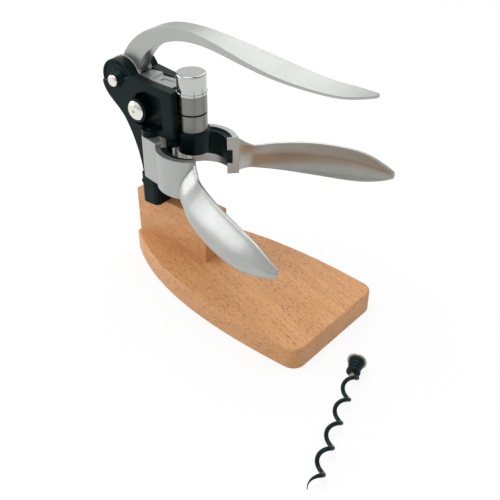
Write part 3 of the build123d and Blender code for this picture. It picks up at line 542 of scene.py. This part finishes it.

# Jaws: the cast shell, and a grip with a crowned back and a scooped inner side that carries
# painted shade

gripShape = {
    # mm: forward and sideways of the top edge, heading, top, bottom, lean, bulge, hollow, fill
    "stations": (
        (15.6, 19.5, 43.0, 102.6, 75.7, 8.4, 3.4, 0.0, 1.0),
        (20.0, 23.6, 42.0, 101.8, 75.5, 9.0, 4.0, 0.0, 0.8),
        (24.0, 26.9, 39.5, 98.8, 75.2, 8.7, 4.5, 0.5, 0.35),
        (28.5, 30.5, 36.5, 96.8, 74.6, 8.1, 4.8, 1.8, 0.0),
        (41.6, 39.9, 32.0, 98.6, 72.9, 8.2, 5.3, 3.2, 0.0),
        (62.4, 52.0, 25.6, 100.1, 71.5, 6.0, 5.5, 3.8, 0.0),
        (86.4, 62.0, 17.0, 99.1, 71.8, 3.5, 5.1, 3.6, 0.0),
        (99.2, 65.7, 13.0, 96.6, 74.2, 1.9, 4.1, 2.6, 0.0),
        (110.6, 68.2, 9.0, 91.6, 78.4, 0.6, 2.8, 1.0, 0.0),
        (117.0, 69.2, 6.0, 88.2, 81.8, 0.1, 1.5, 0.0, 0.0),
    ),
    "edge": 2.2,  # mm, thickness of the rim
    "leastBulge": 0.6,  # mm
    "backPower": 0.9,  # below 1, a fuller back or scoop
    "scoopPower": 0.75,
    "crown": 0.60,  # share of the height, from the top, where the back stands out most
    "crease": 0.43,  # share of the height where the inner side turns
    "rings": 84,
    "sidePoints": 22,
    "rimPoints": 6,
    "tipRings": 8,
    "tipLength": 1.2,  # mm
    "sharpAngle": 40.0,
    "rootAngle": 40.0,  # heading of the root
    "shellCut": 31.0,  # mm along the root's heading, where the plain solid is cut off
    "shellEase": 0.0007,  # metres
    "shellSteps": 3,
    "neck": (2.43, 5.83),  # mm, middle of the open jaw's bore
    "endAngle": 43.0,  # degrees round that middle, where the shell ends
}


def alongStations(rows, steps):
    spans = [math.dist(a[:2], b[:2]) for a, b in zip(rows, rows[1:])]
    places = [sum(spans[:k]) for k in range(len(rows))]
    last = len(rows) - 1

    def slope(k, c):
        a, b = max(k - 1, 0), min(k + 1, last)
        return (rows[b][c] - rows[a][c]) / (places[b] - places[a])

    smooth = []
    for step in range(steps):
        place = places[-1] * step / (steps - 1)
        k = max(j for j in range(last) if places[j] <= place + 1e-9)
        t = (place - places[k]) / spans[k]
        a, b = (1 + 2 * t) * (1 - t) ** 2, t * (1 - t) ** 2 * spans[k]
        c, d = t * t * (3 - 2 * t), t * t * (t - 1) * spans[k]
        smooth.append([
            a * rows[k][i] + b * slope(k, i) + c * rows[k + 1][i] + d * slope(k + 1, i)
            for i in range(len(rows[0]))
        ])
    return smooth


def gripSection(top, bottom, lean, bulge, hollow, fill):
    shape = gripShape
    half = min(shape["edge"], bulge) / 2
    tall = top - bottom - 2 * half
    peak = math.log(0.5) / math.log(shape["crown"])
    turn = shape["crease"]

    def back(t):
        crown = math.sin(math.pi * min(t, 1.0) ** peak)
        return lean * t + half + bulge * crown ** shape["backPower"]

    def inside(t):
        deep = t / turn
        if t >= turn:
            deep = math.cos(math.pi / 2 * (t - turn) / (1 - turn)) ** shape["scoopPower"]
        return lean * t * (1 - fill) - half + hollow * deep

    count, rim = shape["sidePoints"], shape["rimPoints"]
    ring = [(back(k / count), top - half - tall * k / count) for k in range(count + 1)]
    middle, wide = (back(1.0) + inside(1.0)) / 2, (back(1.0) - inside(1.0)) / 2
    for k in range(1, rim):
        angle = math.pi * k / rim
        ring.append((middle + wide * math.cos(angle), bottom + half - half * math.sin(angle)))
    ring += [(inside(1 - k / count), bottom + half + tall * k / count) for k in range(count + 1)]
    for k in range(1, rim):
        angle = math.pi * k / rim
        ring.append((-half * math.cos(angle), top - half + half * math.sin(angle)))
    return ring


def buildGrip(node, name, side):
    shape = gripShape
    bm = bmesh.new()
    rings = []
    rows = alongStations(shape["stations"], shape["rings"])
    for forward, sideways, heading, top, bottom, lean, bulge, hollow, fill in rows:
        turn = math.radians(heading)
        ring = []
        bulge, hollow = max(bulge, shape["leastBulge"]), max(hollow, 0.0)
        fill = min(max(fill, 0.0), 1.0)
        for out, up in gripSection(top, bottom, lean, bulge, hollow, fill):
            spot = (forward - out * math.sin(turn), side * (sideways + out * math.cos(turn)), up)
            ring.append(bm.verts.new([mm / 1000 for mm in spot]))
        rings.append(ring)
    turn = math.radians(shape["stations"][-1][2])
    ahead = Vector((math.cos(turn), side * math.sin(turn), 0.0)) * shape["tipLength"] / 1000
    middle = sum((v.co for v in rings[-1]), Vector()) / len(rings[-1])
    lastRing = [v.co.copy() for v in rings[-1]]
    for k in range(1, shape["tipRings"]):
        angle = math.pi / 2 * k / shape["tipRings"]
        rings.append([
            bm.verts.new(middle + (co - middle) * math.cos(angle) + ahead * math.sin(angle))
            for co in lastRing
        ])
    # the scooped inner side takes the second material, which carries painted shade
    firstInside = shape["sidePoints"] + shape["rimPoints"]
    scoop = range(firstInside, firstInside + shape["sidePoints"])
    for a, b in zip(rings, rings[1:]):
        for k in range(len(a)):
            n = (k + 1) % len(a)
            bm.faces.new((a[k], a[n], b[n], b[k])).material_index = int(k in scoop)
    end = bm.verts.new(middle + ahead)
    for k in range(len(rings[-1])):
        bm.faces.new((rings[-1][k], rings[-1][(k + 1) % len(rings[-1])], end))
    bm.faces.new(rings[0])
    bmesh.ops.recalc_face_normals(bm, faces=bm.faces)
    mesh = bpy.data.meshes.new(name)
    bm.to_mesh(mesh)
    bm.free()
    mesh.shade_smooth()
    mesh.set_sharp_from_angle(angle=math.radians(shape["sharpAngle"]))
    mesh.materials.append(finishes["satinSilver"])
    # painted shade for the scooped inner side
    mesh.materials.append(finishes["scoopShadeSilver"])
    piece = bpy.data.objects.new(name, mesh)
    bpy.context.scene.collection.objects.link(piece)
    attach(piece, bodyOf[node])
    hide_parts(node)
    rootTurn, endTurn = math.radians(shape["rootAngle"]), math.radians(shape["endAngle"])
    way = Vector((math.cos(rootTurn), side * math.sin(rootTurn), 0.0))
    neck = Vector((shape["neck"][0], side * shape["neck"][1], 0.0)) / 1000
    front = Vector((math.sin(endTurn), -side * math.cos(endTurn), 0.0))
    cuts = ((way * shape["shellCut"] / 1000, way), (neck, front))
    ease, steps = shape["shellEase"], shape["shellSteps"]
    dressNode(node, "satinSilver", name + "Shell", ease, steps, cuts)


linerShape = {  # metres
    "foot": 0.0839,  # the liners show down to here, level with their tongues
    "ease": 0.0005,
}
linerCut = (Vector((0.0, 0.0, linerShape["foot"])), Vector((0.0, 0.0, -1.0)))
for node, name in (("left_liner", "leftLiner"), ("right_liner", "rightLiner")):
    dressNode(node, "gripRubber", name, linerShape["ease"], cuts=(linerCut,))
buildGrip("left_jaw", "leftGrip", 1)
buildGrip("right_jaw", "rightGrip", -1)
print("grips and jaw shells built")


# Loose worm: a wound wire and a ribbed plug, both grown by node trees

# Keys with capitals are the sockets of the node trees, in metres and turns
wormShape = {
    "head": (152.5, -28.5, 6.3),  # mm, middle of the disc's outer face
    "heading": -73.6,  # degrees
    "start": 13.1,  # mm from the head to the first turn
    "headBack": 1.4,  # mm that disc, plug and shank stand further back than the solids
    "Helix Radius": 0.0031,
    "Pitch": 0.0191,
    "Turns": 4.57,
    "Tip Turns": 0.50,
    "Wire Radius": 0.00132,
    "Tip Radius": 0.00026,
    "Knob Radius": 0.0017,
    "turnSteps": 64,
    "wireSides": 20,
    "knobSegments": 24,
    "knobRings": 16,
}
plugShape = {
    "start": 1.4,  # mm from the head
    "Wide Radius": 0.0053,
    "Narrow Radius": 0.0039,
    "Rib Length": 0.0078,
    "Ribs": 3.0,
    "Groove Depth": 0.0008,
    "Collar Radius": 0.0045,
    "Collar Length": 0.0022,
    "ribMiddle": 0.36,  # shares of the room for one rib
    "ribFlank": (0.22, 0.46),  # from the rib's middle, where its flank begins and ends
    "collarFlank": (0.25, 0.5),  # share of the collar, from its middle
    "rows": 220,
    "sides": 48,
}
grownCrease = 50.0  # degrees


def wormTurn():
    shape = wormShape
    length = shape["start"] / 1000 + shape["Pitch"] * shape["Turns"]
    drop = (shape["head"][2] / 1000 - shape["Helix Radius"] - shape["Wire Radius"]) / length
    turn = math.radians(shape["heading"])
    along = Vector((math.cos(turn), math.sin(turn), -drop)).normalized()
    across = Vector((-math.sin(turn), math.cos(turn), 0.0))
    return Matrix((across, along.cross(across), along)).transposed(), along


def startTree(name, numbers):
    tree = bpy.data.node_groups.new(name, "GeometryNodeTree")
    tree.interface.new_socket("Geometry", in_out="INPUT", socket_type="NodeSocketGeometry")
    tree.interface.new_socket("Geometry", in_out="OUTPUT", socket_type="NodeSocketGeometry")
    for label in numbers:
        tree.interface.new_socket(label, in_out="INPUT", socket_type="NodeSocketFloat")
    tree.interface.new_socket("Place", in_out="INPUT", socket_type="NodeSocketVector")
    tree.interface.new_socket("Turn", in_out="INPUT", socket_type="NodeSocketVector")
    tree.interface.new_socket("Finish", in_out="INPUT", socket_type="NodeSocketMaterial")
    return tree, tree.nodes.new("NodeGroupInput"), tree.nodes.new("NodeGroupOutput")


def endTree(tree, given, out, geometry):
    placed = tree.nodes.new("GeometryNodeTransform")
    tree.links.new(geometry, placed.inputs["Geometry"])
    tree.links.new(given.outputs["Place"], placed.inputs["Translation"])
    tree.links.new(given.outputs["Turn"], placed.inputs["Rotation"])
    real = tree.nodes.new("GeometryNodeRealizeInstances")
    tree.links.new(placed.outputs[0], real.inputs[0])
    coat = tree.nodes.new("GeometryNodeSetMaterial")
    tree.links.new(real.outputs[0], coat.inputs["Geometry"])
    tree.links.new(given.outputs["Finish"], coat.inputs["Material"])
    tree.links.new(coat.outputs[0], out.inputs[0])


def sweepRound(tree, curve, radius, corners):
    ring = tree.nodes.new("GeometryNodeCurvePrimitiveCircle")
    ring.inputs["Resolution"].default_value = corners
    ring.inputs["Radius"].default_value = 1.0
    tube = tree.nodes.new("GeometryNodeCurveToMesh")
    tube.inputs["Fill Caps"].default_value = True
    tree.links.new(curve, tube.inputs["Curve"])
    tree.links.new(ring.outputs[0], tube.inputs["Profile Curve"])
    tree.links.new(radius, tube.inputs["Scale"])
    return tube.outputs[0]


# Eases from low to high while the value passes between two limits
def easeOver(tree, value, limits, low, high):
    span = tree.nodes.new("ShaderNodeMapRange")
    span.interpolation_type = "SMOOTHSTEP"
    keys = ("Value", "From Min", "From Max", "To Min", "To Max")
    for key, end in zip(keys, (value, *limits, low, high)):
        if isinstance(end, bpy.types.NodeSocket):
            tree.links.new(end, span.inputs[key])
        else:
            span.inputs[key].default_value = end
    return span.outputs["Result"]


def wireTree():
    labels = [k for k in wormShape if k[0].isupper()]
    tree, given, out = startTree("woundWire", labels)
    spiral = tree.nodes.new("GeometryNodeCurveSpiral")
    spiral.inputs["Resolution"].default_value = wormShape["turnSteps"]
    spiral.inputs["Reverse"].default_value = True  # wound like a wood screw
    tree.links.new(given.outputs["Turns"], spiral.inputs["Rotations"])
    tree.links.new(given.outputs["Helix Radius"], spiral.inputs["Start Radius"])
    tree.links.new(given.outputs["Helix Radius"], spiral.inputs["End Radius"])
    tall = nodeMath(tree, "MULTIPLY", given.outputs["Pitch"], given.outputs["Turns"])
    tree.links.new(tall, spiral.inputs["Height"])
    place = tree.nodes.new("GeometryNodeSplineParameter").outputs["Factor"]
    share = nodeMath(tree, "SUBTRACT", 1.0, place)
    left = nodeMath(tree, "MULTIPLY", share, given.outputs["Turns"])
    taper = easeOver(
        tree, left, (0.0, given.outputs["Tip Turns"]),
        given.outputs["Tip Radius"], given.outputs["Wire Radius"],
    )
    wire = sweepRound(tree, spiral.outputs[0], taper, wormShape["wireSides"])
    knob = tree.nodes.new("GeometryNodeMeshUVSphere")
    knob.inputs["Segments"].default_value = wormShape["knobSegments"]
    knob.inputs["Rings"].default_value = wormShape["knobRings"]
    tree.links.new(given.outputs["Knob Radius"], knob.inputs["Radius"])
    start = tree.nodes.new("ShaderNodeCombineXYZ")
    tree.links.new(given.outputs["Helix Radius"], start.inputs["X"])
    moved = tree.nodes.new("GeometryNodeTransform")
    tree.links.new(knob.outputs["Mesh"], moved.inputs["Geometry"])
    tree.links.new(start.outputs[0], moved.inputs["Translation"])
    both = tree.nodes.new("GeometryNodeJoinGeometry")
    tree.links.new(wire, both.inputs[0])
    tree.links.new(moved.outputs[0], both.inputs[0])
    endTree(tree, given, out, both.outputs[0])
    return tree


def plugTree():
    labels = [k for k in plugShape if k[0].isupper()]
    tree, given, out = startTree("ribbedPlug", labels)
    whole = nodeMath(tree, "ADD", given.outputs["Rib Length"], given.outputs["Collar Length"])
    top = tree.nodes.new("ShaderNodeCombineXYZ")
    tree.links.new(whole, top.inputs["Z"])
    line = tree.nodes.new("GeometryNodeCurvePrimitiveLine")
    tree.links.new(top.outputs[0], line.inputs["End"])
    fine = tree.nodes.new("GeometryNodeResampleCurve")
    fine.inputs["Count"].default_value = plugShape["rows"]
    tree.links.new(line.outputs[0], fine.inputs["Curve"])
    factor = tree.nodes.new("GeometryNodeSplineParameter").outputs["Factor"]
    place = nodeMath(tree, "MULTIPLY", factor, whole)
    share = nodeMath(tree, "DIVIDE", place, given.outputs["Rib Length"])
    cone = tree.nodes.new("ShaderNodeMapRange")
    tree.links.new(share, cone.inputs["Value"])
    tree.links.new(given.outputs["Wide Radius"], cone.inputs["To Min"])
    tree.links.new(given.outputs["Narrow Radius"], cone.inputs["To Max"])
    wave = nodeMath(tree, "FRACT", nodeMath(tree, "MULTIPLY", share, given.outputs["Ribs"]))
    groove = given.outputs["Groove Depth"]
    fromRib = nodeMath(tree, "SUBTRACT", wave, plugShape["ribMiddle"])
    dip = easeOver(tree, nodeMath(tree, "ABSOLUTE", fromRib), plugShape["ribFlank"], 0.0, groove)
    ribs = nodeMath(tree, "SUBTRACT", cone.outputs[0], dip)
    past = nodeMath(tree, "SUBTRACT", place, given.outputs["Rib Length"])
    past = nodeMath(tree, "DIVIDE", past, given.outputs["Collar Length"])
    edge = nodeMath(tree, "ABSOLUTE", nodeMath(tree, "SUBTRACT", past, 0.5))
    ease = easeOver(tree, edge, plugShape["collarFlank"], 0.0, groove)
    collar = nodeMath(tree, "SUBTRACT", given.outputs["Collar Radius"], ease)
    inCollar = nodeMath(tree, "GREATER_THAN", share, 1.0)
    radius = tree.nodes.new("ShaderNodeMix")
    tree.links.new(inCollar, radius.inputs[0])
    tree.links.new(ribs, radius.inputs[2])
    tree.links.new(collar, radius.inputs[3])
    plug = sweepRound(tree, fine.outputs[0], radius.outputs[0], plugShape["sides"])
    endTree(tree, given, out, plug)
    return tree


def growPiece(node, name, tree, shape, start, finish):
    piece = bpy.data.objects.new(name, bpy.data.meshes.new(name))
    bpy.context.scene.collection.objects.link(piece)
    grown = piece.modifiers.new("grown", "NODES")
    grown.node_group = tree
    sockets = {i.name: i.identifier for i in tree.interface.items_tree if i.in_out == "INPUT"}
    turn, along = wormTurn()
    values = {k: v for k, v in shape.items() if k in sockets}
    values["Place"] = (Vector(wormShape["head"]) + along * start) / 1000
    values["Turn"] = turn.to_euler()
    values["Finish"] = finishes[finish]
    for label, value in values.items():
        grown[sockets[label]] = value
    done = plainMesh(piece, name)
    piece.modifiers.clear()
    piece.data = done
    done.shade_smooth()
    done.set_sharp_from_angle(angle=math.radians(grownCrease))
    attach(piece, bodyOf[node])
    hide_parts(node)


growPiece("worm_wire", "wormWire", wireTree(), wormShape, wormShape["start"], "wormBlack")
plugStart = plugShape["start"] - wormShape["headBack"]
growPiece("worm_plug", "wormPlug", plugTree(), plugShape, plugStart, "plugBlack")
back = wormTurn()[1] * wormShape["headBack"] / 1000
for name in ("wormDisc", "wormShank"):
    bpy.data.objects[name].data.transform(Matrix.Translation(-back))
print("worm wound and plug ribbed")

# CAD nodes that stay as they are
hidden = {
    "stand_dowel": "beechBlock",
    "stand_screw_rear": "turnedSteel",
    "stand_screw_front": "turnedSteel",
    "foot_bolt": "frameBlack",
    "guide_bush": "dullBrass",
    "worm_socket": "dullBrass",
    "drive_gear": "turnedSteel",
}
for node, finish in hidden.items():
    mesh = frame["nodes"][node].data
    mesh.materials.clear()
    mesh.materials.append(finishes[finish])
print("plain nodes:", len(hidden))
